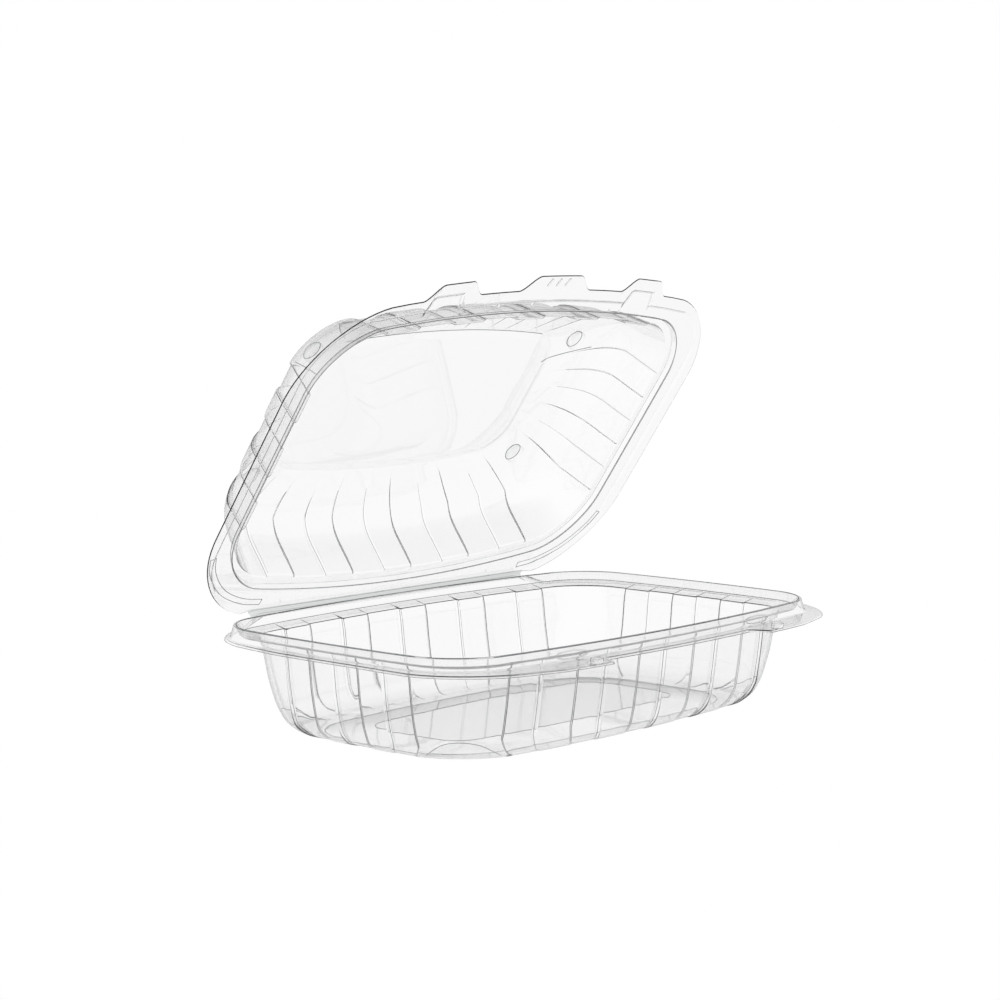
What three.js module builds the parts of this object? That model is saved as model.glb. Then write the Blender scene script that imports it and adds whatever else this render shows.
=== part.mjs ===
// Hinged takeaway meal container: a fluted tray and a domed lid, thermoformed in one sheet of clear plastic.
// Millimetres, +Z up. The origin is on the surface that the tray stands on, below the middle of the tray.
// +Y points to the hinge side, and the lid stands half open, as it does on the table.
import * as THREE from "three";

// Sheet and heights above the table
const SHEET = 0.6;
const RIM_HEIGHT = 40.8;
const PANEL_RISE = 2.1;
const DOME_HEIGHT = 33.4;
const PANEL_RECESS = 1.0;
const LID_CLEARANCE = 0.4;
const COLLAR_HEIGHT = 4.9;
const COLLAR_WIDTH = 2.4;
const COLLAR_TAPER = 1.2;
const MOUTH_STEP = 1.8;
const MOUTH_LEDGE = 2.4;
const LIP = { step: 1.2, drop: 1.0, edge: 1.3 };
const PANEL_BORDER = 1.6;

// Outlines: half length, half width and corner radius, measured at the corners of each outline
const FLOOR_PANEL = { a: 63.5, b: 23.4, r: 9 };
const FOOT_INSIDE = { a: 80, b: 41, r: 21 };
const FOOT = { a: 85.8, b: 46.6, r: 26 };
const WALL_TOP = { a: 96.6, b: 55, r: 17 };
const COLLAR = { a: 105, b: 61.2, r: 20.2 };
const TRAY_EDGE = { a: 110.1, b: 66.3, r: 25.3 };
const DOME_PANEL = { a: 64, b: 25.8, r: 11 };
const LID_MOUTH = { a: 101.8, b: 55.9, r: 24.6 };
const LIP_BEND = { a: 108.7, b: 60.1, r: 22 };
const LID_EDGE = { a: 114.2, b: 65.6, r: 34.6 };

// How far the middle of each side stands out, as a share of its distance from the centre
const TRAY_BOW = { side: 0.138, end: 0.0255 };
const LID_BOW = { side: 0.179, end: 0.0017 };

// Flutes that run down the walls
const FLUTE_DEPTH = 2.0;
const LONG_FLUTES = { places: [-66, -33, 0, 33, 66], foot: 8.2, crest: 6.6 };
const SHORT_FLUTES = { places: [-24.6, 0, 24.6], foot: 6.9, crest: 5.3 };

// Hinge line, and the lid's opening from shut
const HINGE = { y: 72, z: 40.3, halfLength: 75, end: 83, gap: 0.8 };
const LID_OPENING = THREE.MathUtils.degToRad(55);

// What stands out in front: finger ears on the tray, and two hooks and a pull tab on the lid
const EAR = { reach: 7.3, inner: 41.5, full: 46.6, fade: 70, end: 112, aside: 1.5 };
const REAR_CORNER_CUT = 2.5;
const CORNER_X = { from: 80, to: 100 };
const CORNER_Y = { from: 20, to: 50 };
const HOOK = { reach: 6.4, place: 54, foot: 13.8, top: 7.6 };
const TAB = { reach: 6.4, place: 0, foot: 19.2, top: 12 };

// Columns round the perimeter that the flutes' edges need, and the steps on each corner
const CORNER_STEPS = 7;
const LAST_X = 75.5;
const LAST_Y = 33;
const CORNER_SHARE = 0.8;

const lerp = THREE.MathUtils.lerp;

function ramp(value, from, to) {
  return THREE.MathUtils.clamp((value - from) / (to - from), 0, 1);
}

// One ring of the surface: an outline at a height, with what the flutes and front tabs do there
function ring(outline, z, options = {}) {
  return { ...outline, z, flute: 0, reach: 0, rear: 0, ...options };
}

function grow(outline, by) {
  return { a: outline.a + by, b: outline.b + by, r: outline.r + by };
}

// Marks along one half of a side: the two slopes of every flute, then the extra places, then the last one
function halfMarks(flutes, extra, last) {
  const marks = [...extra, last];
  for (const place of flutes.places) {
    for (const edge of [-flutes.foot, -flutes.crest, flutes.crest, flutes.foot]) {
      if (place + edge > 0) marks.push(place + edge);
    }
  }
  return marks.sort((p, q) => p - q);
}

function bothHalves(marks) {
  return [...marks.map((mark) => -mark).reverse(), ...marks];
}

// Depth of the flutes at a distance along a wall: level on the crest, falling to nothing at the foot
function fluteShare(flutes, along) {
  const nearest = Math.min(...flutes.places.map((place) => Math.abs(along - place)));
  return 1 - ramp(nearest, flutes.crest, flutes.foot);
}

// Points of one ring, counter-clockwise from the front left, before the front tabs and the hinge
function outlinePoints(level, bow, marks) {
  const scaleX = Math.min(1, (level.a - CORNER_SHARE * level.r) / LAST_X);
  const scaleY = Math.min(1, (level.b - CORNER_SHARE * level.r) / LAST_Y);
  const centreX = level.a - level.r;
  const centreY = level.b - level.r;
  const acrossAt = (x) => centreY + Math.sqrt(level.r ** 2 - Math.max(0, Math.abs(x) - centreX) ** 2);
  const alongAt = (y) => centreX + Math.sqrt(level.r ** 2 - Math.max(0, Math.abs(y) - centreY) ** 2);
  const startAngle = Math.acos(THREE.MathUtils.clamp((LAST_X * scaleX - centreX) / level.r, 0, 1));
  const endAngle = Math.asin(THREE.MathUtils.clamp((LAST_Y * scaleY - centreY) / level.r, 0, 1));
  const points = [];
  const long = (sign, list) => {
    for (const mark of list) {
      const x = mark * scaleX;
      const inward = level.flute * FLUTE_DEPTH * fluteShare(LONG_FLUTES, mark);
      points.push([x, sign * acrossAt(x), 0, -sign * inward]);
    }
  };
  const short = (sign, list) => {
    for (const mark of list) {
      const y = mark * scaleY;
      const inward = level.flute * FLUTE_DEPTH * fluteShare(SHORT_FLUTES, mark);
      points.push([sign * alongAt(y), y, -sign * inward, 0]);
    }
  };
  const corner = (signX, signY, forward) => {
    for (let step = 1; step < CORNER_STEPS; step += 1) {
      const share = forward ? step / CORNER_STEPS : 1 - step / CORNER_STEPS;
      const angle = lerp(startAngle, endAngle, share);
      const x = centreX + level.r * Math.cos(angle);
      const y = centreY + level.r * Math.sin(angle);
      points.push([signX * x, signY * y, 0, 0]);
    }
  };
  long(-1, marks.front);
  corner(1, -1, true);
  short(1, marks.end);
  corner(1, 1, false);
  long(1, [...marks.back].reverse());
  corner(-1, 1, true);
  short(-1, [...marks.end].reverse());
  corner(-1, -1, false);
  return points.map(([x, y, dx, dy]) => [
    x * (1 + bow.end * (1 - (y / level.b) ** 2)) + dx,
    y * (1 + bow.side * (1 - (x / level.a) ** 2)) + dy,
    level.z,
  ]);
}

// One closed solid through a loop of rings, from the middle of the upper face out over the edge and back below
function shell(rings, bow, marks, shape) {
  const loops = rings.map((level) => outlinePoints(level, bow, marks).map((point) => shape(point, level)));
  const count = loops[0].length;
  const positions = loops.flat(2);
  const index = [];
  for (let level = 0; level + 1 < loops.length; level += 1) {
    for (let column = 0; column < count; column += 1) {
      const next = (column + 1) % count;
      const here = level * count;
      const above = here + count;
      index.push(here + column, above + column, above + next);
      index.push(here + column, above + next, here + next);
    }
  }
  const cap = (loop) => THREE.ShapeUtils.triangulateShape(loop.map(([x, y]) => new THREE.Vector2(x, y)), []);
  for (const [p, q, r] of cap(loops[0])) index.push(p, q, r);
  const last = (loops.length - 1) * count;
  for (const [p, q, r] of cap(loops[loops.length - 1])) index.push(last + p, last + r, last + q);
  const geometry = new THREE.BufferGeometry();
  geometry.setAttribute("position", new THREE.Float32BufferAttribute(positions, 3));
  geometry.setIndex(index);
  geometry.computeVertexNormals();
  return geometry;
}

// How far a hook or tab reaches at a distance along the front: a trapezium with sloping ends
function tabReach(tab, x) {
  return tab.reach * (1 - ramp(Math.abs(Math.abs(x) - tab.place), tab.top, tab.foot));
}

function earReach(x) {
  const rise = ramp(Math.abs(x), EAR.inner, EAR.full);
  const fall = 1 - ramp(Math.abs(x), EAR.fade, EAR.end);
  return EAR.reach * rise * fall;
}

// 1 along the hinge, falling to 0 just past its ends
function hingeShare(x, y) {
  return y > 0 ? 1 - ramp(Math.abs(x), HINGE.halfLength, HINGE.end) : 0;
}

// Outer face of the tray's wall, from the foot's fillet up to below the ledge, with the flutes' share of depth
const TRAY_WALL = [
  { a: 88.0, b: 48.2, r: 25, z: 0.8, flute: 0 },
  { a: 90.6, b: 50.0, r: 23, z: 3.2, flute: 0.3 },
  { a: 92.2, b: 51.3, r: 22, z: 7.5, flute: 0.9 },
  { a: 94.2, b: 53.0, r: 19.5, z: 20, flute: 1 },
  { a: 96.0, b: 54.5, r: 17.4, z: 32.2, flute: 1 },
];

function trayRings() {
  const walls = TRAY_WALL.map((level) => ring(level, level.z, { flute: level.flute }));
  const inside = walls.map((level) => ({ ...level, ...grow(level, -SHEET), z: level.z + 0.5 * SHEET }));
  const flangeZ = RIM_HEIGHT - COLLAR_HEIGHT;
  const above = [
    ring(grow(FLOOR_PANEL, -0.5), PANEL_RISE + SHEET),
    ring(grow(FOOT_INSIDE, -0.5), 2 * SHEET),
    ring(grow(FOOT, -0.9), SHEET),
    ...inside,
    ring(grow(WALL_TOP, -SHEET), flangeZ, { flute: 0.8 }),
    ring(grow(COLLAR, -COLLAR_WIDTH), flangeZ + COLLAR_TAPER + 0.2),
    ring(grow(COLLAR, -1), RIM_HEIGHT),
    ring(COLLAR, RIM_HEIGHT),
    ring(grow(COLLAR, COLLAR_TAPER), flangeZ + 0.3, { rear: 1, back: 2 }),
    ring(grow(TRAY_EDGE, -0.6), flangeZ, { reach: 1, rear: 1, back: 1 }),
    ring(TRAY_EDGE, flangeZ - 0.8, { reach: 1, rear: 1, back: 0 }),
  ];
  const below = [
    ring(grow(TRAY_EDGE, -0.7), flangeZ - 0.9, { reach: 1, rear: 1, back: 0.4 }),
    ring(grow(TRAY_EDGE, -1.1), flangeZ - SHEET, { reach: 1, rear: 1, back: 1 }),
    ring(grow(COLLAR, COLLAR_TAPER - SHEET), flangeZ - SHEET + 0.3, { rear: 1, back: 2.4 }),
    ring(grow(COLLAR, -0.5), RIM_HEIGHT - 2 * SHEET),
    ring(grow(COLLAR, SHEET - COLLAR_WIDTH), flangeZ + SHEET),
    ring(WALL_TOP, flangeZ - SHEET, { flute: 0.8 }),
    ...walls.reverse(),
    ring(FOOT, 0),
    ring(FOOT_INSIDE, 0),
    ring(FLOOR_PANEL, PANEL_RISE),
  ];
  return [...above, ...below];
}

// Rings near the hinge are held in front of it, and the flange there rises to the hinge's height
const HINGE_LEDGE = 3.9;
const HINGE_STEP = 0.35;

function shapeTray([x, y, z], level) {
  const front = y < 0 ? earReach(x) * level.reach : 0;
  const nearFront = ramp(-y, CORNER_Y.from, CORNER_Y.to);
  const nearBack = ramp(y, CORNER_Y.from, CORNER_Y.to);
  const aside = EAR.aside * nearFront - REAR_CORNER_CUT * nearBack;
  const across = x + Math.sign(x) * level.reach * aside * ramp(Math.abs(x), CORNER_X.from, CORNER_X.to);
  const limit = HINGE.y - HINGE.gap - HINGE_STEP * (level.back ?? 0);
  const held = level.rear ? Math.min(y, limit) : y;
  return [across, held - front, z + level.rear * HINGE_LEDGE * hingeShare(x, y)];
}

// Outer face of the dome, from the shoulder's inner end down to the mouth, with heights above the flange
const DOME_WALL = [
  { a: 73.5, b: 32.5, r: 14, z: 31.0, flute: 0.2 },
  { a: 82.5, b: 38.5, r: 16, z: 28.2, flute: 0.5 },
  { a: 89.2, b: 43.7, r: 17.6, z: 24.6, flute: 0.8 },
  { a: 93.0, b: 47.0, r: 18.8, z: 20.8, flute: 1 },
  { a: 95.2, b: 49.0, r: 19.5, z: 16.4, flute: 1 },
  { a: 97.5, b: 51.3, r: 20.5, z: 8, flute: 1 },
];

function lidRings() {
  const flangeZ = RIM_HEIGHT + LID_CLEARANCE + SHEET;
  const stepZ = flangeZ + MOUTH_STEP;
  const topZ = RIM_HEIGHT + DOME_HEIGHT;
  const outside = DOME_WALL.map((level) => ring(level, flangeZ + level.z, { flute: level.flute }));
  const inside = outside.map((level) => ({ ...level, ...grow(level, -0.7 * SHEET), z: level.z - 0.7 * SHEET }));
  const above = [
    ring(DOME_PANEL, topZ - PANEL_RECESS + SHEET),
    ring(grow(DOME_PANEL, PANEL_BORDER), topZ + SHEET),
    ...outside,
    ring(grow(LID_MOUTH, -MOUTH_LEDGE), stepZ + 0.4),
    ring(LID_MOUTH, stepZ),
    ring(grow(LID_MOUTH, 0.8), flangeZ),
    ring(LIP_BEND, flangeZ, { rear: flangeZ, back: 1.8 }),
    ring(grow(LIP_BEND, LIP.step), flangeZ - LIP.drop, { rear: flangeZ, back: 1.2 }),
    ring(LID_EDGE, flangeZ - LIP.edge, { reach: 1, rear: flangeZ, back: 0 }),
  ];
  const below = [
    ring(grow(LID_EDGE, -0.5), flangeZ - LIP.edge - SHEET, { reach: 1, rear: flangeZ - SHEET, back: 0.5 }),
    ring(grow(LIP_BEND, LIP.step - 0.4), flangeZ - LIP.drop - SHEET, { rear: flangeZ - SHEET, back: 1.6 }),
    ring(grow(LIP_BEND, -0.4), flangeZ - SHEET, { rear: flangeZ - SHEET, back: 2.2 }),
    ring(grow(LID_MOUTH, 0.3), flangeZ - SHEET),
    ring(grow(LID_MOUTH, -0.5), stepZ - SHEET),
    ring(grow(LID_MOUTH, -MOUTH_LEDGE - SHEET), stepZ + 0.4 - SHEET),
    ...inside.reverse(),
    ring(grow(DOME_PANEL, PANEL_BORDER + 0.2), topZ),
    ring(grow(DOME_PANEL, 0.2), topZ - PANEL_RECESS),
  ];
  return [...above, ...below];
}

function shapeLid([x, y, z], level) {
  const front = y < 0 ? (tabReach(HOOK, x) + tabReach(TAB, x)) * level.reach : 0;
  const lift = level.rear ? (level.rear - level.z) * hingeShare(x, y) : 0;
  const limit = HINGE.y - HINGE.gap - HINGE_STEP * (level.back ?? 0);
  const held = level.back === undefined ? y : Math.min(y, limit);
  return [x, held - front - HINGE.y, z + lift - HINGE.z];
}

const clearSheet = new THREE.MeshStandardMaterial({
  color: 0xeef1f2,
  roughness: 0.08,
  metalness: 0,
  transparent: true,
  opacity: 0.35,
  side: THREE.DoubleSide,
});

const flutedBack = bothHalves(halfMarks(LONG_FLUTES, [], LAST_X));
const flutedEnd = bothHalves(halfMarks(SHORT_FLUTES, [], LAST_Y));
const trayFront = bothHalves(halfMarks(LONG_FLUTES, [43.5, EAR.full], LAST_X));
const lidFront = bothHalves(halfMarks(LONG_FLUTES, [TAB.top, 15.6, TAB.foot, 43.3, 46.4, 65], LAST_X));

const tray = new THREE.Mesh(
  shell(trayRings(), TRAY_BOW, { front: trayFront, back: flutedBack, end: flutedEnd }, shapeTray),
  clearSheet,
);
tray.name = "tray";

const lid = new THREE.Mesh(
  shell(lidRings(), LID_BOW, { front: lidFront, back: flutedBack, end: flutedEnd }, shapeLid),
  clearSheet.clone(),
);
lid.name = "lid";

const hinge = new THREE.Group();
hinge.position.set(0, HINGE.y, HINGE.z);
hinge.rotation.x = -LID_OPENING;
hinge.add(lid);

const group = new THREE.Group();
group.add(tray, hinge);

export default group;
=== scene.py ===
"""A clear hinged takeaway container, stood half open on a white studio floor."""
import math
import bpy
import numpy as np
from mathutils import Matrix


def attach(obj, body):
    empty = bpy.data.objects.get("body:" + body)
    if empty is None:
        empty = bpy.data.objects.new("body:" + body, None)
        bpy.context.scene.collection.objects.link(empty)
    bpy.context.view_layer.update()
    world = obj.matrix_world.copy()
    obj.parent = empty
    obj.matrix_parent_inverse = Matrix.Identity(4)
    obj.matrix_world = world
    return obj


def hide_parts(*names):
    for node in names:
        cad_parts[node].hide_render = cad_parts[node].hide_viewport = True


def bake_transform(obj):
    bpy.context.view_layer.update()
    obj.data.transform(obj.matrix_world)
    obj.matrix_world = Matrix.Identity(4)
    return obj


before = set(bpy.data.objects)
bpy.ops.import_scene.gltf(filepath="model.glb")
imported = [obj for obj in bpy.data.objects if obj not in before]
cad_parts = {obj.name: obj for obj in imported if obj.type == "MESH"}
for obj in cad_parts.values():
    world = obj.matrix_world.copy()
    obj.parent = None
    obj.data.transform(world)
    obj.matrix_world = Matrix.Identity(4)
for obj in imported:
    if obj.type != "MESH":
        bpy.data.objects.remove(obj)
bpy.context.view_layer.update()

# The sheet and the heights above the table. Every length is in millimetres until a mesh is made
MM = 0.001
SHEET = 0.6
SHOWN_SHEET = 0.42
PANEL_RISE = 2.1
RIM_HEIGHT = 40.8
COLLAR_HEIGHT = 4.9
TRAY_FLANGE = RIM_HEIGHT - COLLAR_HEIGHT
LID_CLEARANCE = 0.4
LID_FLANGE = RIM_HEIGHT + LID_CLEARANCE + SHEET
MOUTH_STEP = 2.2
STEP_Z = LID_FLANGE + MOUTH_STEP
DOME_HEIGHT = 33.4
DOME_TOP = RIM_HEIGHT + DOME_HEIGHT
PANEL_RECESS = 1.0
PANEL_BRIM = 0.4

# How far the middle of each side stands out, as a share of its distance from the centre
TRAY_BOW = {"side": 0.138, "end": 0.0255}
LID_BOW = {"side": 0.179, "end": 0.0017}

# Flutes that run down the walls: their middles, and half their width at the wall and at the crest
LONG_FLUTES = {"places": [-66, -33, 0, 33, 66], "foot": 7.9, "crest": 7.0}
SHORT_FLUTES = {"places": [-24.6, 0, 24.6], "foot": 6.6, "crest": 5.7}
FLUTE_DEPTH = 1.5

# The hinge line and its ledge, how the flanges end in front of it, and the lid's opening from shut
HINGE = {"y": 72.0, "z": 40.3, "half": 75.0, "end": 83.0, "ledge": 3.9}
FLANGE_END = {"gap": 0.8, "step": 0.35, "ease": 0.25}
LID_OPENING = math.radians(55)

# Finger ears on the tray, and where along its ends the flange grows wider in front and narrower behind
EAR = {"reach": 7.3, "inner": 41.5, "full": 46.6, "fade": 70, "end": 112}
FLANGE_ENDS = {"front": 1.5, "rear": -2.5, "y_from": 20, "y_to": 50, "x_from": 80, "x_to": 100}

# Hooks and pull tab on the lid, with half their width at foot and top, and the lip's cups at the hooks
HOOK = {"reach": 6.4, "place": 54, "foot": 14.6, "top": 6.8}
TAB = {"reach": 6.4, "place": 0, "foot": 20.2, "top": 11}
HOOK_CUP = {"reach": 6.2, "place": 55.3, "foot": 8.8, "top": 6.6}
LIP = {"step": 1.2, "drop": 1.0, "edge": 1.3}

# Columns round the perimeter: steps in a corner, the ends of the straight sides, and the widest column
CORNER_STEPS = 16
CORNER_SHARE = 0.8
LAST_X = 75.5
LAST_Y = 33.0
WIDEST_COLUMN = 4.0
SLOPE_SHARES = np.linspace(-0.15, 1.15, 6)
TAB_SHARES = [step / 10 for step in range(11)]

# Rows down a wall: the longest step, the steps round a bend, and the most of a run that a bend may take
ROW_STEP = 3.0
FILLET_STEPS = 4
LONGEST_FILLET = 0.48
TINY = 1e-6


def ramp(value, start, end):
    """0 before start and 1 after end, and straight between them."""
    return np.clip((value - start) / (end - start), 0, 1)


def smooth(value, start, end):
    """0 before start and 1 after end, and between them three times the square less twice the cube."""
    share = ramp(value, start, end)
    return share * share * (3 - 2 * share)


def side_marks(flutes, extra, last):
    """Places along one side where its columns stand: fine on each flute's slopes and at extra places."""
    marks = {-last, last}
    for place in flutes["places"]:
        marks.add(place)
        for sign in (-1, 1):
            for share in SLOPE_SHARES:
                marks.add(place + sign * (flutes["crest"] + share * (flutes["foot"] - flutes["crest"])))
    for mark in extra:
        marks.update((-mark, mark))
    kept = sorted(mark for mark in marks if abs(mark) <= last)
    filled = []
    for here, after in zip(kept, kept[1:]):
        steps = max(1, math.ceil((after - here) / WIDEST_COLUMN))
        filled.extend(here + (after - here) * step / steps for step in range(steps))
    return filled + [last]


def tab_marks(tab):
    """Fine columns on both sloping ends of a hook or tab."""
    offsets = [tab["top"] + share * (tab["foot"] - tab["top"]) for share in TAB_SHARES]
    return [abs(tab["place"] + sign * offset) for offset in offsets for sign in (-1, 1)]


def perimeter(front, back, end):
    """Columns counter-clockwise from the front left: side, signs, mark along a side, share of a corner."""
    columns = []
    shares = [step / CORNER_STEPS for step in range(1, CORNER_STEPS)]
    columns += [("long", 1, -1, mark, 0) for mark in front]
    columns += [("corner", 1, -1, 0, share) for share in shares]
    columns += [("short", 1, 1, mark, 0) for mark in end]
    columns += [("corner", 1, 1, 0, 1 - share) for share in shares]
    columns += [("long", 1, 1, mark, 0) for mark in reversed(back)]
    columns += [("corner", -1, 1, 0, share) for share in shares]
    columns += [("short", -1, 1, mark, 0) for mark in reversed(end)]
    columns += [("corner", -1, -1, 0, 1 - share) for share in shares]
    kind = np.array([column[0] for column in columns])
    numbers = np.array([column[1:] for column in columns], float).T
    return {"kind": kind, "sx": numbers[0], "sy": numbers[1], "mark": numbers[2], "share": numbers[3]}


def flute_share(flutes, mark):
    """Depth of the flutes at a mark: 1 on a crest, 0 beyond its foot."""
    nearest = np.min([np.abs(mark - place) for place in flutes["places"]], axis=0)
    return 1 - smooth(nearest, flutes["crest"], flutes["foot"])


def level(outline, grown, z, **more):
    """One level of a shell: an outline, grown outwards by a distance, at a height."""
    a, b, r = outline
    return {"a": a + grown, "b": b + grown, "r": r + grown, "z": z, **more}


def rows_of(levels):
    """The levels' table, with each bend rounded by a quadratic curve and each long run divided."""
    keys = ("a", "b", "r", "z", "flute", "reach", "rear", "back", "cup")
    table = np.array([[one.get(key, 0) for key in keys] for one in levels], float)
    fillets = [one.get("bend", 0) for one in levels]
    length = np.hypot(np.diff(table[:, 0]), np.diff(table[:, 3]))
    points = [table[0]]
    for at in range(1, len(table) - 1):
        before = table[at - 1] - table[at]
        after = table[at + 1] - table[at]
        near = min(fillets[at] / max(length[at - 1], TINY), LONGEST_FILLET)
        far = min(fillets[at] / max(length[at], TINY), LONGEST_FILLET)
        if fillets[at] == 0:
            points.append(table[at])
            continue
        for t in np.linspace(0, 1, FILLET_STEPS + 1):
            points.append(table[at] + before * near * (1 - t) ** 2 + after * far * t ** 2)
    points.append(table[-1])
    rows = []
    for here, after in zip(points, points[1:]):
        steps = max(1, math.ceil(math.hypot(after[0] - here[0], after[3] - here[3]) / ROW_STEP))
        rows.extend(here + (after - here) * step / steps for step in range(steps))
    rows.append(points[-1])
    return dict(zip(keys, np.array(rows).T[:, :, None]))


def nearest_row(rows, a, z=None):
    """The row whose outline, and whose height where one is given, come nearest."""
    away = np.abs(rows["a"][:, 0] - a)
    if z is not None:
        away = np.hypot(away, rows["z"][:, 0] - z)
    return int(np.argmin(away))


def surface(rows, bow, around):
    """Points of every row and column: a rounded rectangle bowed by a parabola and pressed in by flutes."""
    a, b, r = rows["a"], rows["b"], rows["r"]
    scale_x = np.minimum(1, (a - CORNER_SHARE * r) / LAST_X)
    scale_y = np.minimum(1, (b - CORNER_SHARE * r) / LAST_Y)
    centre_x, centre_y = a - r, b - r
    mark = around["mark"][None, :]
    long_x = mark * scale_x
    long_y = centre_y + np.sqrt(r ** 2 - np.minimum(r, np.maximum(0, np.abs(long_x) - centre_x)) ** 2)
    short_y = mark * scale_y
    short_x = centre_x + np.sqrt(r ** 2 - np.minimum(r, np.maximum(0, np.abs(short_y) - centre_y)) ** 2)
    start = np.arccos(np.clip((LAST_X * scale_x - centre_x) / r, 0, 1))
    end = np.arcsin(np.clip((LAST_Y * scale_y - centre_y) / r, 0, 1))
    angle = start + (end - start) * around["share"][None, :]
    corner_x = (centre_x + r * np.cos(angle)) * around["sx"]
    corner_y = (centre_y + r * np.sin(angle)) * around["sy"]
    is_long, is_short = around["kind"] == "long", around["kind"] == "short"
    x = np.where(is_long, long_x, np.where(is_short, short_x * around["sx"], corner_x))
    y = np.where(is_long, long_y * around["sy"], np.where(is_short, short_y, corner_y))
    inward = rows["flute"] * FLUTE_DEPTH
    press_y = is_long * inward * flute_share(LONG_FLUTES, mark)
    press_x = is_short * inward * flute_share(SHORT_FLUTES, mark)
    bowed_x = x * (1 + bow["end"] * (1 - (y / b) ** 2)) - around["sx"] * press_x
    bowed_y = y * (1 + bow["side"] * (1 - (x / a) ** 2)) - around["sy"] * press_y
    return bowed_x, bowed_y, rows["z"] + 0 * bowed_x


def hinge_share(x, y):
    """1 along the hinge, falling to 0 just past its ends."""
    return np.where(y > 0, 1 - smooth(np.abs(x), HINGE["half"], HINGE["end"]), 0)


def behind_hinge(y, steps_back):
    """Places kept in front of the hinge line: a soft minimum of where they are and that line."""
    limit = HINGE["y"] - FLANGE_END["gap"] - FLANGE_END["step"] * steps_back
    return limit - FLANGE_END["ease"] * np.logaddexp(0, (limit - y) / FLANGE_END["ease"])


def tab_reach(tab, x):
    """How far a hook or tab reaches at a distance along the front: flat on top with eased ends."""
    return tab["reach"] * (1 - smooth(np.abs(np.abs(x) - tab["place"]), tab["top"], tab["foot"]))


def ear_reach(x):
    """How far an ear reaches at a distance along the front: an eased rise, then a long straight fall."""
    rise = smooth(np.abs(x), EAR["inner"], EAR["full"])
    fall = 1 - ramp(np.abs(x), EAR["fade"], EAR["end"])
    return EAR["reach"] * rise * fall


def shape_tray(x, y, z, rows):
    """Adds the finger ears to the tray's flange and lifts its rear edge to the hinge."""
    front = np.where(y < 0, ear_reach(x), 0) * rows["reach"]
    in_front = FLANGE_ENDS["front"] * ramp(-y, FLANGE_ENDS["y_from"], FLANGE_ENDS["y_to"])
    behind = FLANGE_ENDS["rear"] * ramp(y, FLANGE_ENDS["y_from"], FLANGE_ENDS["y_to"])
    at_end = ramp(np.abs(x), FLANGE_ENDS["x_from"], FLANGE_ENDS["x_to"])
    across = x + np.sign(x) * rows["reach"] * (in_front + behind) * at_end
    held = np.where(rows["rear"] > 0, behind_hinge(y, rows["back"]), y)
    return across, held - front, z + rows["rear"] * HINGE["ledge"] * hinge_share(x, y)


def shape_lid(x, y, z, rows):
    """Adds the hooks and the pull tab to the lid's flange, and opens the lid about the hinge."""
    edge = (tab_reach(HOOK, x) + tab_reach(TAB, x)) * rows["reach"]
    front = np.where(y < 0, edge + tab_reach(HOOK_CUP, x) * rows["cup"], 0)
    lift = rows["rear"] * (LID_FLANGE - z) * hinge_share(x, y)
    held = np.where(rows["rear"] > 0, behind_hinge(y, rows["back"]), y)
    return opened(x, held - front, z + lift)


def opened(x, y, z):
    """A point of the shut lid, turned about the hinge line to where it stands half open."""
    along, up = y - HINGE["y"], z - HINGE["z"]
    cosine, sine = math.cos(LID_OPENING), math.sin(LID_OPENING)
    return x, HINGE["y"] + along * cosine + up * sine, HINGE["z"] - along * sine + up * cosine


def on_open_lid(x, reach, height):
    """Places on the half open lid, by their distance from the hinge line and their height over it."""
    return np.stack(np.broadcast_arrays(*opened(x, HINGE["y"] - reach, HINGE["z"] + height)), axis=-1)


def turned_with_lid(direction):
    """A direction of the shut lid, turned with the lid."""
    x, y, z = direction
    return on_open_lid(x, -y, z) - [0, HINGE["y"], HINGE["z"]]


UP = np.array([0.0, 0.0, 1.0])
TO_FRONT = np.array([0.0, -1.0, 0.0])
LID_UP = np.array([0, math.sin(LID_OPENING), math.cos(LID_OPENING)])

# Tray, along its upper face from the middle of the floor to the edge of the flange.
# An outline is half its length, half its width and its corner radius
FLOOR_MIDDLE = (4, 1.6, 0.5)
FLOOR_PANEL = (63.5, 23.4, 9)
FOOT_LINE = (80.5, 38.5, 20)
FOOT = (84.4, 45.4, 26)
FOOT_RISE = 0.4
WALL_TOP = (96.6, 55, 17)
COLLAR = (105, 61.2, 20.2)
COLLAR_FOOT = {"inside": 2.4, "rise": 1.4}
COLLAR_CROWN = 1
TRAY_EDGE = (110.1, 66.3, 25.3)

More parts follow.
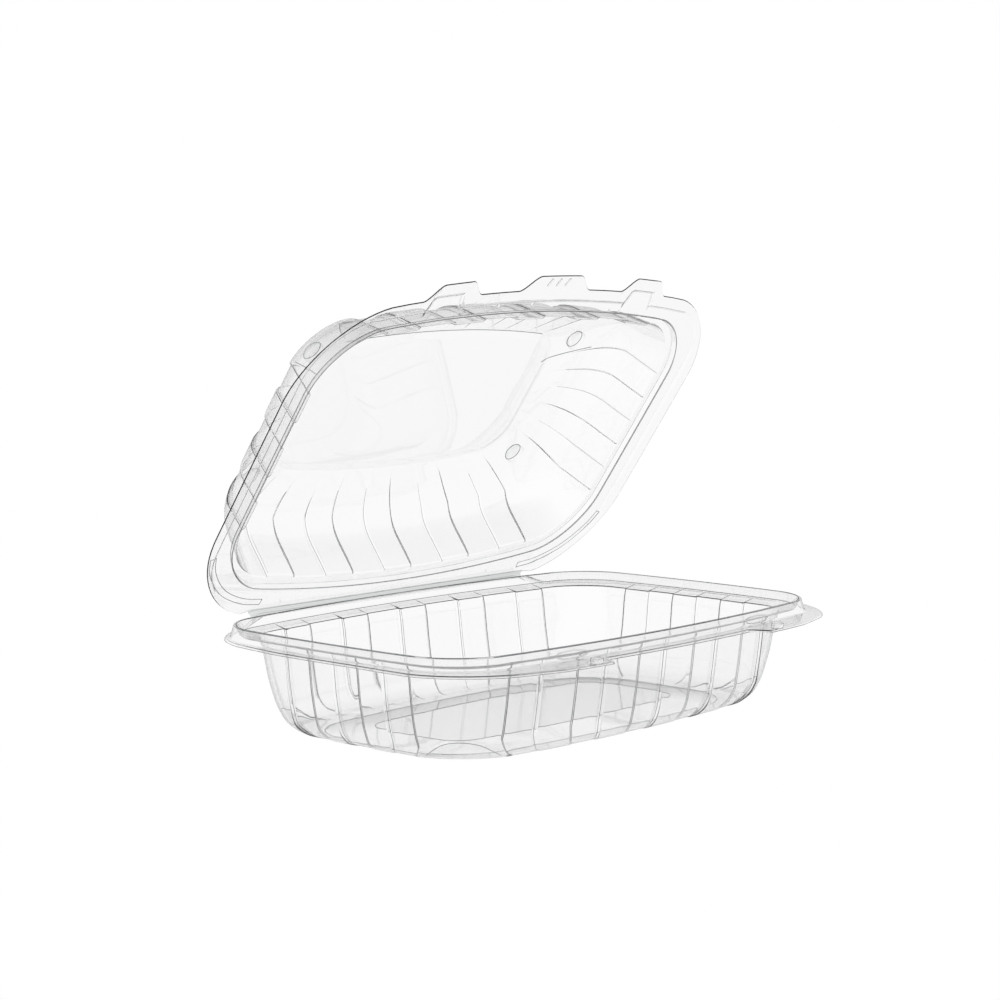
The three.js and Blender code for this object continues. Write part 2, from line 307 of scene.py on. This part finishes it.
# Each level of the tray's wall: outline, height, share of the flutes' depth, and bend
TRAY_WALL = [
    ((88.2, 48.2, 24.5), 1.6, 0.8, 1),
    ((91.0, 50.4, 22.5), 4.4, 1, 2),
    ((93.0, 51.8, 20.5), 10, 1, 3),
    ((94.8, 53.2, 18.6), 20, 1, 3),
    ((96.0, 54.5, 17.4), 32.2, 1, 1),
]
tray_levels = [
    level(FLOOR_MIDDLE, 0, PANEL_RISE),
    level(FLOOR_PANEL, 0, PANEL_RISE, bend=0.4),
    level(FOOT_LINE, 0, SHEET, bend=0.4),
    level(FOOT, 0, SHEET + FOOT_RISE, bend=1.2, flute=0.3),
]
for outline, height, depth_share, bend in TRAY_WALL:
    tray_levels.append(level(outline, -SHEET, height + 0.5 * SHEET, flute=depth_share, bend=bend))
tray_levels += [
    level(WALL_TOP, -SHEET, TRAY_FLANGE, bend=0.5, flute=0.8),
    level(COLLAR, -COLLAR_FOOT["inside"], TRAY_FLANGE + COLLAR_FOOT["rise"], bend=0.7),
    level(COLLAR, -COLLAR_CROWN, RIM_HEIGHT, bend=0.4),
    level(COLLAR, 0, RIM_HEIGHT, bend=0.4),
    level(COLLAR, 1.2, TRAY_FLANGE + 0.3, bend=0.5, rear=1, back=2),
    level(TRAY_EDGE, -0.6, TRAY_FLANGE, bend=0.4, reach=1, rear=1, back=1),
    level(TRAY_EDGE, -0.1, TRAY_FLANGE - 0.6, reach=1, rear=1),
    level(TRAY_EDGE, 0, TRAY_FLANGE - 0.8, reach=1, rear=1),
]

# Lid, along its outer face from the middle of the dome to the edge of the flange
DOME_MIDDLE = (4, 1.6, 0.7)
DOME_PANEL = (64, 25.8, 11)
PANEL_BANK = 3
LID_MOUTH = (101.8, 55.9, 24.6)
MOUTH = {"inside": 0.3, "outside": 0.4}
LIP_BEND = (108.7, 60.1, 22)
LID_EDGE = (114.2, 65.6, 34.6)

# Each level of the dome's wall: outline, height over the flange, share of the flutes' depth, and bend
DOME_WALL = [
    ((73.5, 32.5, 14), 31.0, 0.2, 3),
    ((82.5, 38.5, 16), 28.2, 0.5, 4),
    ((89.2, 43.7, 17.6), 24.6, 0.8, 4),
    ((93.0, 47.0, 18.8), 20.8, 1, 4),
    ((95.2, 49.0, 19.5), 16.4, 1, 4),
    ((97.2, 51.3, 20.5), 8, 1, 3),
]
lid_levels = [
    level(DOME_MIDDLE, 0, DOME_TOP - PANEL_RECESS + SHEET),
    level(DOME_PANEL, 0, DOME_TOP - PANEL_RECESS + SHEET, bend=1.2),
    level(DOME_PANEL, PANEL_BANK, DOME_TOP - PANEL_BRIM + SHEET, bend=1.2),
]
for outline, height, depth_share, bend in DOME_WALL:
    lid_levels.append(level(outline, 0, LID_FLANGE + height, flute=depth_share, bend=bend))
lid_levels += [
    level(LID_MOUTH, -3.0, STEP_Z + 0.3, bend=0.4, flute=0.8),
    level(LID_MOUTH, -MOUTH["inside"], STEP_Z, bend=0.25),
    level(LID_MOUTH, MOUTH["outside"], LID_FLANGE, bend=0.3),
    level(LIP_BEND, 0, LID_FLANGE, bend=0.3, rear=1, back=1.8, cup=1),
    level(LIP_BEND, LIP["step"], LID_FLANGE - LIP["drop"], bend=0.3, rear=1, back=1.2, cup=1),
    level(LID_EDGE, -0.2, LID_FLANGE - LIP["edge"], reach=1, rear=1),
    level(LID_EDGE, 0, LID_FLANGE - LIP["edge"] - 0.1, reach=1, rear=1),
]

ear_marks = [EAR["inner"] + share * (EAR["full"] - EAR["inner"]) for share in TAB_SHARES]
plain_long = side_marks(LONG_FLUTES, [], LAST_X)
plain_short = side_marks(SHORT_FLUTES, [], LAST_Y)
lid_front = side_marks(LONG_FLUTES, tab_marks(HOOK) + tab_marks(TAB) + tab_marks(HOOK_CUP), LAST_X)
tray_around = perimeter(side_marks(LONG_FLUTES, ear_marks, LAST_X), plain_long, plain_short)
lid_around = perimeter(lid_front, plain_long, plain_short)


def colour(hexadecimal):
    """Linear colour from an sRGB hex string."""
    channels = [int(hexadecimal[at:at + 2], 16) / 255 for at in (0, 2, 4)]
    return [c / 12.92 if c <= 0.04045 else ((c + 0.055) / 1.055) ** 2.4 for c in channels] + [1]


def node(tree, kind, **inputs):
    """Adds a node, and sets or links its inputs by name, or by number where the name has one."""
    made = tree.nodes.new(kind)
    for key, value in inputs.items():
        socket = made.inputs[int(key[1:])] if key[1:].isdigit() else made.inputs[key.replace("_", " ")]
        if isinstance(value, bpy.types.NodeSocket):
            tree.links.new(value, socket)
        else:
            socket.default_value = value
    return made


def stops(made, places):
    """Gives a colour ramp these places and sRGB colours, and returns its colour."""
    elements = made.color_ramp.elements
    while len(elements) < len(places):
        elements.new(0.5)
    for element, (position, hexadecimal) in zip(elements, places):
        element.position = position
        element.color = colour(hexadecimal)
    return made.outputs["Color"]


def blank_material(name):
    """A material with an empty node tree, and that tree."""
    material = bpy.data.materials.new(name)
    material.use_nodes = True
    material.node_tree.nodes.clear()
    return material, material.node_tree


# The clear sheet: its gloss, its tint from face-on to edge-on (near white face-on, a painted shade of grey
# edge-on), and the grey painted shade mixed into it in the same order
SHEET_GLOSS = {"Roughness": 0.03, "IOR": 1.49, "Transmission_Weight": 1}
SHEET_TINT_AND_EDGE_SHADE = [(0, "fdfdfd"), (0.75, "f8f8f8"), (1, "b4b6b8")]
EDGE_SHADE_GREY = "909294"
EDGE_SHADE_SHARE = [(0, "000000"), (0.75, "363636"), (0.9, "7c7c7c"), (1, "b4b4b4")]


def clear_sheet(name):
    """Refracting plastic, tinted and mixed with a grey painted shade by how far the sheet is seen edge-on.
    """
    material, tree = blank_material(name)
    facing = node(tree, "ShaderNodeLayerWeight", Blend=0.5).outputs["Facing"]
    tint_and_shade = stops(node(tree, "ShaderNodeValToRGB", Fac=facing), SHEET_TINT_AND_EDGE_SHADE)
    clear = node(tree, "ShaderNodeBsdfPrincipled", Base_Color=tint_and_shade, **SHEET_GLOSS)
    edge_shade = node(tree, "ShaderNodeBsdfTransparent", Color=colour(EDGE_SHADE_GREY))
    share = stops(node(tree, "ShaderNodeValToRGB", Fac=facing), EDGE_SHADE_SHARE)
    mixed = node(tree, "ShaderNodeMixShader", _0=share, _1=clear.outputs[0], _2=edge_shade.outputs[0])
    node(tree, "ShaderNodeOutputMaterial", Surface=mixed.outputs[0])
    return material


def film(name, face_on, edge_on):
    """The same plastic where it is so thin or narrow that only a grey tint shows, face-on and edge-on:
    painted shade laid on the clear sheet.
    """
    material, tree = blank_material(name)
    facing = node(tree, "ShaderNodeLayerWeight", Blend=0.5).outputs["Facing"]
    tint_and_shade = stops(node(tree, "ShaderNodeValToRGB", Fac=facing), [(0.2, face_on), (1, edge_on)])
    through = node(tree, "ShaderNodeBsdfTransparent", Color=tint_and_shade)
    node(tree, "ShaderNodeOutputMaterial", Surface=through.outputs[0])
    return material


def white(name, strength):
    """A plain evenly lit white surface."""
    material, tree = blank_material(name)
    glow = node(tree, "ShaderNodeEmission", Color=colour("ffffff"), Strength=strength)
    node(tree, "ShaderNodeOutputMaterial", Surface=glow.outputs[0])
    return material


# Clear polypropylene formed over a mould: glossy, almost untinted face-on, and greyed by painted shade where
# seen edge-on
plastic = clear_sheet("clear thermoformed polypropylene")

# Painted shade on the sheet's sharp bends: thin crisp grey lines drawn on it
bend_shade_line = film("painted shade on the bends of the clear polypropylene sheet", "b8babc", "b8babc")

# The trimmed rim of the lid, which shows as a soft pale edge: a light grey of painted shade, a little darker
# edge-on
pale_rim = film("trimmed rim of the clear polypropylene sheet", "e6e8e8", "dcdede")

# The sheet where it is pressed thin for the living hinge: a soft grey band, with painted shade darkening it
# where it curves away
hinge_film = film("thinned clear polypropylene of the living hinge", "eceded", "8c8e90")

# The sheet drawn thin over the stacking lugs: clear face-on, with a faint painted shade inside their rims
# where seen edge-on
lug_film = film("thinned clear polypropylene of the stacking lugs", "ffffff", "e6e8e8")


def grid_faces(rows, columns, close_rows=False, close_columns=False):
    """Four-sided faces between neighbouring rows and columns of a grid, going round where it closes."""
    row = np.arange(rows if close_rows else rows - 1)[:, None]
    column = np.arange(columns if close_columns else columns - 1)[None, :]
    next_row, beside = (row + 1) % rows, (column + 1) % columns
    corners = [(row, column), (next_row, column), (next_row, beside), (row, beside)]
    return np.stack([r * columns + c for r, c in corners], axis=-1).reshape(-1, 4).tolist()


def make_mesh(name, points, faces):
    """A smooth object in the scene from points in millimetres and their faces."""
    mesh = bpy.data.meshes.new(name)
    mesh.from_pydata((np.asarray(points) * MM).tolist(), [], faces)
    mesh.polygons.foreach_set("use_smooth", [True] * len(mesh.polygons))
    mesh.update()
    piece = bpy.data.objects.new(name, mesh)
    bpy.context.scene.collection.objects.link(piece)
    return piece


def even_shading(piece):
    """Lets the large faces set the shading, so that a bend stays a thin line beside them."""
    weighted = piece.modifiers.new("even shading", "WEIGHTED_NORMAL")
    weighted.mode = "FACE_AREA"
    weighted.weight = 50


def shell(name, points):
    """A sheet through the grid of rows and columns, closed in the middle, with its thickness below."""
    grid = np.stack(points, axis=-1)
    height, width = grid.shape[:2]
    vertices = np.vstack([grid.reshape(-1, 3), grid[0].mean(axis=0)])
    faces = [[height * width, column, (column + 1) % width] for column in range(width)]
    piece = make_mesh(name, vertices, faces + grid_faces(height, width, close_columns=True))
    solidify = piece.modifiers.new("sheet", "SOLIDIFY")
    solidify.thickness = SHOWN_SHEET * MM
    solidify.offset = -1
    even_shading(piece)
    return piece


def finish_piece(piece, body, material=plastic):
    """Gives a piece its material, and lets it ride on its body."""
    piece.data.materials.append(material)
    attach(piece, body)
    return piece


# How a bead is made: points round it, where its path's corners are cut, and how blunt its ends are
BEAD_SIDES = 12
CORNER_CUT = 0.25
BLUNT_END = 0.02


def eased_path(points, closed=False, rounds=3):
    """The path with a quarter cut off both sides of each corner, again and again, until it is smooth."""
    points = np.array(points, float)
    for _ in range(rounds):
        after = np.roll(points, -1, axis=0)
        near = (1 - CORNER_CUT) * points + CORNER_CUT * after
        far = CORNER_CUT * points + (1 - CORNER_CUT) * after
        cut = np.stack([near, far], axis=1).reshape(-1, 3)
        points = cut if closed else np.vstack([points[:1], cut[:-2], points[-1:]])
    return points


def bead(path, up, width, height, closed=False, rounds=3):
    """A low ridge along a path: an ellipse of that full width and height, its ends rounded unless closed."""
    path = eased_path(path, closed, rounds)
    count = len(path)
    along = np.roll(path, -1, axis=0) - np.roll(path, 1, axis=0)
    if not closed:
        along[0], along[-1] = path[1] - path[0], path[-1] - path[-2]
    side = np.cross(along, up)
    side /= np.linalg.norm(side, axis=1)[:, None]
    taper = np.ones(count)
    if not closed:
        run = np.concatenate([[0], np.cumsum(np.linalg.norm(np.diff(path, axis=0), axis=1))])
        nearest = np.minimum(run, run[-1] - run)
        taper = np.sqrt(1 - (1 - np.clip(nearest / (0.5 * width), BLUNT_END, 1)) ** 2)
    turn = np.linspace(0, 2 * math.pi, BEAD_SIDES, endpoint=False)
    across = 0.5 * width * np.cos(turn)[None, :, None] * side[:, None, :]
    raised = 0.5 * height * np.sin(turn)[None, :, None] * up
    vertices = path[:, None, :] + (across + raised) * taper[:, None, None]
    faces = grid_faces(count, BEAD_SIDES, close_rows=closed, close_columns=True)
    if not closed:
        faces.append(list(reversed(range(BEAD_SIDES))))
        faces.append([(count - 1) * BEAD_SIDES + column for column in range(BEAD_SIDES)])
    return vertices.reshape(-1, 3), faces


def join(parts):
    """Vertices and faces of several parts as one."""
    vertices, faces, start = [], [], 0
    for part_vertices, part_faces in parts:
        vertices.append(part_vertices)
        faces.extend([[index + start for index in face] for face in part_faces])
        start += len(part_vertices)
    return np.vstack(vertices), faces


# The tray and the lid
tray_rows = rows_of(tray_levels)
tray_points = shape_tray(*surface(tray_rows, TRAY_BOW, tray_around), tray_rows)
tray = finish_piece(shell("tray_shell", tray_points), "base")
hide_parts("tray")

lid_rows = rows_of(lid_levels)
lid_points = shape_lid(*surface(lid_rows, LID_BOW, lid_around), lid_rows)
lid = finish_piece(shell("lid_shell", lid_points), "cover")
lid.data.materials.append(pale_rim)
lid.modifiers["sheet"].material_offset_rim = 1
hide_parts("lid")

# Thin lines of painted shade on the sheet's bends: width on each wall, the least depth of flute that has
# one, and their tilt
LINE = 0.26
LID_LINES = {"long": 0.18, "short": 0.13, "least": 0.35, "tilt": 0}
TRAY_LINES = {"long": 0.2, "short": 0.2, "least": 0.05, "tilt": -0.6}

# The fold along the front of the dome's panel, and the ridges from its front corners to the shoulder, drawn
# as lines of painted shade
PANEL_FOLD = 0.36
CORNER_RIDGE = [
    (63.7, 15.8, DOME_TOP - 0.3),
    (67, 17.4, DOME_TOP + 0.2),
    (73.5, 20.8, LID_FLANGE + 30.9),
    (82, 25.2, LID_FLANGE + 28.1),
    (84, 26.4, LID_FLANGE + 27.2),
]

# The arch on each corner of the tray, a line of painted shade: its ends' height, its rise, and the top of
# the wall that it lies on
ARCH = {"low": 1.2, "rise": 7.4, "wall_top": 30}


def flute_edges(flutes, kind, sign):
    """Marks of both edges of every flute of one wall, as columns of a perimeter."""
    middle = 0.5 * (flutes["crest"] + flutes["foot"])
    marks = [place + side * middle for place in flutes["places"] for side in (-1, 1)]
    count = len(marks)
    signs = {"long": (1, sign), "short": (sign, 1)}[kind]
    return {
        "kind": np.array([kind] * count), "sx": np.full(count, float(signs[0])),
        "sy": np.full(count, float(signs[1])), "mark": np.array(marks, float), "share": np.zeros(count),
    }


def bend_lines(rows, bow, shape, turned, lines):
    """Thin lines of painted shade down both edges of each flute, where it is deep enough, on a body that
    turned() turns.
    """
    parts = []
    deep = np.nonzero(rows["flute"][:, 0] > lines["least"])[0]
    for flutes, kind in ((LONG_FLUTES, "long"), (SHORT_FLUTES, "short")):
        for sign in (-1, 1):
            direction = (sign, 0, lines["tilt"]) if kind == "short" else (0, sign, lines["tilt"])
            outward = turned(direction) / np.linalg.norm(direction)
            points = shape(*surface(rows, bow, flute_edges(flutes, kind, sign)), rows)
            paths = np.stack(points, axis=-1)[deep]
            for column in range(paths.shape[1]):
                parts.append(bead(paths[:, column], outward, lines[kind], lines[kind], rounds=1))
    return parts


def ring_line(points, rows, a, z, up):
    """A thin line of painted shade round the whole outline, on the row that comes nearest this outline and
    height.
    """
    path = np.stack(points, axis=-1)[nearest_row(rows, a, z)]
    return bead(path, up, LINE, LINE, closed=True, rounds=0)


def corner_arch(sx, sy):
    """A half ellipse up one corner of the tray, from one end of the corner's foot over to the other."""
    foot = nearest_row(tray_rows, FOOT[0])
    top = int(np.argmax(tray_rows["z"][:, 0] > ARCH["wall_top"]))
    in_corner = tray_around["kind"] == "corner"
    chosen = np.nonzero(in_corner & (tray_around["sx"] == sx) & (tray_around["sy"] == sy))[0]
    path = []
    for column, share in zip(chosen, np.linspace(0, 1, len(chosen))):
        height = ARCH["low"] + ARCH["rise"] * math.sqrt(1 - (2 * share - 1) ** 2)
        wall = [axis[foot:top, column] for axis in tray_points]
        path.append([np.interp(height, wall[2], axis) for axis in wall])
    return bead(path, UP, LINE, LINE, rounds=1)


lid_lines = bend_lines(lid_rows, LID_BOW, shape_lid, turned_with_lid, LID_LINES)
lid_lines.append(ring_line(lid_points, lid_rows, LID_MOUTH[0] - MOUTH["inside"], STEP_Z, LID_UP))
lid_lines.append(ring_line(lid_points, lid_rows, LID_MOUTH[0] + MOUTH["outside"], LID_FLANGE, LID_UP))
panel_front = (lid_around["kind"] == "long") & (lid_around["sy"] < 0)
fold = np.stack(lid_points, axis=-1)[nearest_row(lid_rows, DOME_PANEL[0] + PANEL_BANK), panel_front]
lid_lines.append(bead(fold, LID_UP, PANEL_FOLD, PANEL_FOLD, rounds=0))
for sign in (-1, 1):
    ridge = [opened(sign * x, -y, z) for x, y, z in CORNER_RIDGE]
    lid_lines.append(bead(ridge, LID_UP, PANEL_FOLD, PANEL_FOLD, rounds=2))
finish_piece(make_mesh("lid_bend_lines", *join(lid_lines)), "cover", bend_shade_line)

tray_lines = bend_lines(tray_rows, TRAY_BOW, shape_tray, np.array, TRAY_LINES)
for a, z in (
    (FLOOR_PANEL[0], PANEL_RISE),
    (FOOT_LINE[0], SHEET),
    (COLLAR[0] - COLLAR_FOOT["inside"], TRAY_FLANGE + COLLAR_FOOT["rise"]),
    (COLLAR[0] - COLLAR_CROWN, RIM_HEIGHT),
):
    tray_lines.append(ring_line(tray_points, tray_rows, a, z, UP))
for sx in (-1, 1):
    for sy in (-1, 1):
        tray_lines.append(corner_arch(sx, sy))
finish_piece(make_mesh("tray_bend_lines", *join(tray_lines)), "base", bend_shade_line)

# Stacking lugs on the dome's four corners, with a thin line of painted shade round each
LUG = {"x": 74.3, "far": 100.8, "near": 41.6, "height": 31.8, "radius": 4.1, "sides": 32}
LUG_RIM = {"line": 0.3, "drop": 0.2, "points": 10}

# The lug's profile: how far outside its radius, and how far below its top
LUG_PROFILE = np.array([(0.2, 2.2), (0, 0.4), (-0.1, 0.1), (-0.4, 0)])


def circle(x, reach, radius, height, count):
    """Points at even steps round a circle on the open lid, for one radius and height or several."""
    turn = np.linspace(0, 2 * math.pi, count, endpoint=False)
    return on_open_lid(x + radius * np.cos(turn), reach + radius * np.sin(turn), height)


def lug_shell(x, reach):
    """A low round boss: a flat top, a rounded rim and a short wall that runs down into the dome."""
    radius = LUG["radius"] + LUG_PROFILE[:, :1]
    height = LUG["height"] - LUG_PROFILE[:, 1:]
    rings = circle(x, reach, radius, height, LUG["sides"])
    vertices = np.vstack([rings.reshape(-1, 3), on_open_lid(x, reach, LUG["height"])])
    faces = grid_faces(len(LUG_PROFILE), LUG["sides"], close_columns=True)
    last_ring = (len(LUG_PROFILE) - 1) * LUG["sides"]
    for side in range(LUG["sides"]):
        faces.append([last_ring + side, len(vertices) - 1, last_ring + (side + 1) % LUG["sides"]])
    return vertices, faces


lug_parts = []
lug_rims = []
for sign in (-1, 1):
    for reach in (LUG["far"], LUG["near"]):
        lug_parts.append(lug_shell(sign * LUG["x"], reach))
        rim_height = LUG["height"] - LUG_RIM["drop"]
        rim = circle(sign * LUG["x"], reach, LUG["radius"], rim_height, LUG_RIM["points"])
        lug_rims.append(bead(rim, LID_UP, LUG_RIM["line"], LUG_RIM["line"], closed=True))
finish_piece(make_mesh("stacking_lugs", *join(lug_parts)), "cover", lug_film)
finish_piece(make_mesh("stacking_lug_rims", *join(lug_rims)), "cover", bend_shade_line)

# Crescent grooves on the lid's flange beside the ends of the hinge, each drawn as an outline of painted
# shade: places across, and away from the hinge
CRESCENT = [(109.0, 30.0), (106.5, 23.0), (97.0, 12.2), (83.5, 5.9), (73.0, 4.6)]
CRESCENT_HALF = 1.3
CRESCENT_LINE = 0.3
flange_height = LID_FLANGE - HINGE["z"]
crescents = []
for sign in (-1, 1):
    spine = eased_path([(sign * x, reach, 0) for x, reach in CRESCENT])[:, :2]
    along = np.gradient(spine, axis=0)
    across = np.stack([-along[:, 1], along[:, 0]], axis=-1) / np.linalg.norm(along, axis=1)[:, None]
    outline = np.vstack([spine + CRESCENT_HALF * across, (spine - CRESCENT_HALF * across)[::-1]])
    path = on_open_lid(outline[:, 0], outline[:, 1], flange_height)
    crescents.append(bead(path, LID_UP, CRESCENT_LINE, CRESCENT_LINE, closed=True, rounds=1))
finish_piece(make_mesh("flange_crescents", *join(crescents)), "cover", bend_shade_line)

# Three short ridges on the pull tab for grip, from their inner ends to their outer ones
GRIP_PLACES = (-5, 0, 5)
GRIP_LEAN = np.array([-0.6, 0.6])
GRIP_REACH = np.array([151.0, 154.4])
GRIP_HEIGHT = np.array([0.1, 0.0])
GRIP_WIDTH = 0.9
grips = []
for place in GRIP_PLACES:
    path = on_open_lid(place + GRIP_LEAN, GRIP_REACH, GRIP_HEIGHT)
    grips.append(bead(path, LID_UP, GRIP_WIDTH, GRIP_WIDTH))
finish_piece(make_mesh("pull_tab_grip", *join(grips)), "cover")

# Latch buttons on the ears: raised squares with rounded corners
BUTTON = {"x": 53, "y": -78.6, "half": 1.9, "rise": 0.9, "width": 0.8, "height": 2.0}
SQUARE = ((-1, -1), (1, -1), (1, 1), (-1, 1))
latches = []
for sign in (-1, 1):
    middle = np.array([sign * BUTTON["x"], BUTTON["y"], TRAY_FLANGE + BUTTON["rise"]])
    path = [middle + BUTTON["half"] * np.array([u, v, 0]) for u, v in SQUARE]
    latches.append(bead(path, UP, BUTTON["width"], BUTTON["height"], closed=True))
finish_piece(make_mesh("latch_buttons", *join(latches)), "base")

# Shallow latch pockets pressed into the front of the collar behind the buttons, with a raised edge
POCKET = {"from": 46.5, "to": 61.5, "low": 0.9, "high": 3.3, "width": 0.5, "height": 0.6}
COLLAR_LEAN = {"foot": 1.2, "proud": 0.1}


def collar_front(x, height):
    """Place on the collar's bowed and leaning front face, at a height over the flange."""
    lean = COLLAR_LEAN["foot"] * (1 - height / COLLAR_HEIGHT) + COLLAR_LEAN["proud"]
    bowed = (COLLAR[1] + lean) * (1 + TRAY_BOW["side"] * (1 - (x / COLLAR[0]) ** 2))
    return x, -bowed, TRAY_FLANGE + height


pockets = []
for sign in (-1, 1):
    outline = [
        (POCKET["from"], POCKET["low"]), (POCKET["to"], POCKET["low"]),
        (POCKET["to"], POCKET["high"]), (POCKET["from"], POCKET["high"]),
    ]
    path = [collar_front(sign * x, height) for x, height in outline]
    pockets.append(bead(path, TO_FRONT, POCKET["width"], POCKET["height"], closed=True, rounds=2))
finish_piece(make_mesh("latch_pockets", *join(pockets)), "base")

# The living hinge: how far the strip laps over each flange, its belly behind the hinge line, its ripples,
# how far past the hinge its ends stand, how much narrower its waist is, and how its ends sink to the flange
STRIP = {"rows": 33, "columns": 61, "lap": 0.5, "below_tray": 0.2, "below_lid": 0.3}
BELLY = np.array([HINGE["y"] + 0.9, HINGE["z"] - 0.2])
RIPPLE = {"height": 0.22, "count": 3}
STRIP_ENDS = {"past": 3.5, "waist": 1.5, "sink": 2.6, "back": 0.4, "from": -3, "to": 4}


def hinge_strip(tray_side, lid_side):
    """A quadratic curve from flange to flange by way of the belly, rippled by a sine, drawn out along x."""
    t = np.linspace(0, 1, STRIP["rows"])[:, None]
    curve = (1 - t) ** 2 * tray_side + 2 * t * (1 - t) * BELLY + t ** 2 * lid_side
    reach = HINGE["half"] + STRIP_ENDS["past"] - STRIP_ENDS["waist"] * np.sin(math.pi * t)
    x = reach * np.linspace(-1, 1, STRIP["columns"])[None, :]
    past = smooth(np.abs(x), HINGE["half"] + STRIP_ENDS["from"], HINGE["half"] + STRIP_ENDS["to"])
    sink = STRIP_ENDS["sink"] * past * (1 - t)
    ripple = RIPPLE["height"] * np.sin(2 * math.pi * RIPPLE["count"] * t)
    points = np.stack([x, curve[:, :1] + ripple - STRIP_ENDS["back"] * sink, curve[:, 1:] - sink], axis=-1)
    return make_mesh("hinge_strip", points.reshape(-1, 3), grid_faces(STRIP["rows"], STRIP["columns"]))


lap_place = FLANGE_END["gap"] + STRIP["lap"]
tray_side = np.array([HINGE["y"] - lap_place, TRAY_FLANGE + HINGE["ledge"] - STRIP["below_tray"]])
lid_side = on_open_lid(0, lap_place, flange_height - STRIP["below_lid"])[1:]
strip = hinge_strip(tray_side, lid_side)
strip.data.materials.append(hinge_film)
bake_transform(strip)

# Studio: an evenly lit white floor just below the tray, and a white surround that darkens overhead
FLOOR = {"half": 6000, "below": 0.4}
floor_corners = [(u * FLOOR["half"], v * FLOOR["half"], -FLOOR["below"]) for u, v in SQUARE]
floor = make_mesh("studio_floor", floor_corners, [(0, 1, 2, 3)])
floor.data.materials.append(white("white studio floor", 1))

world = bpy.data.worlds.new("studio")
bpy.context.scene.world = world
world.use_nodes = True
sky = world.node_tree
sky.nodes.clear()
direction = node(sky, "ShaderNodeTexCoord").outputs["Generated"]
upward = node(sky, "ShaderNodeSeparateXYZ", Vector=direction).outputs["Z"]
surround = stops(node(sky, "ShaderNodeValToRGB", Fac=upward), [(0.4, "ffffff"), (0.8, "707070")])
glow = node(sky, "ShaderNodeBackground", Color=surround, Strength=1)
node(sky, "ShaderNodeOutputWorld", Surface=glow.outputs[0])

bpy.context.scene.view_settings.view_transform = "Standard"

# Camera, where the photograph was taken from: its place and reach in metres, and its angles in degrees
CAMERA_PLACE = (-0.6921, -0.6097, 0.1788)
CAMERA = {"turn": -47.9677, "down": 5.9407, "lens": 87.90, "sensor": 36, "far": 50}
camera_data = bpy.data.cameras.new("camera")
camera_data.lens = CAMERA["lens"]
camera_data.sensor_width = CAMERA["sensor"]
camera_data.clip_end = CAMERA["far"]
camera = bpy.data.objects.new("camera", camera_data)
camera.location = CAMERA_PLACE
camera.rotation_euler = (math.pi / 2 - math.radians(CAMERA["down"]), 0, math.radians(CAMERA["turn"]))
bpy.context.scene.collection.objects.link(camera)
bpy.context.scene.camera = camera
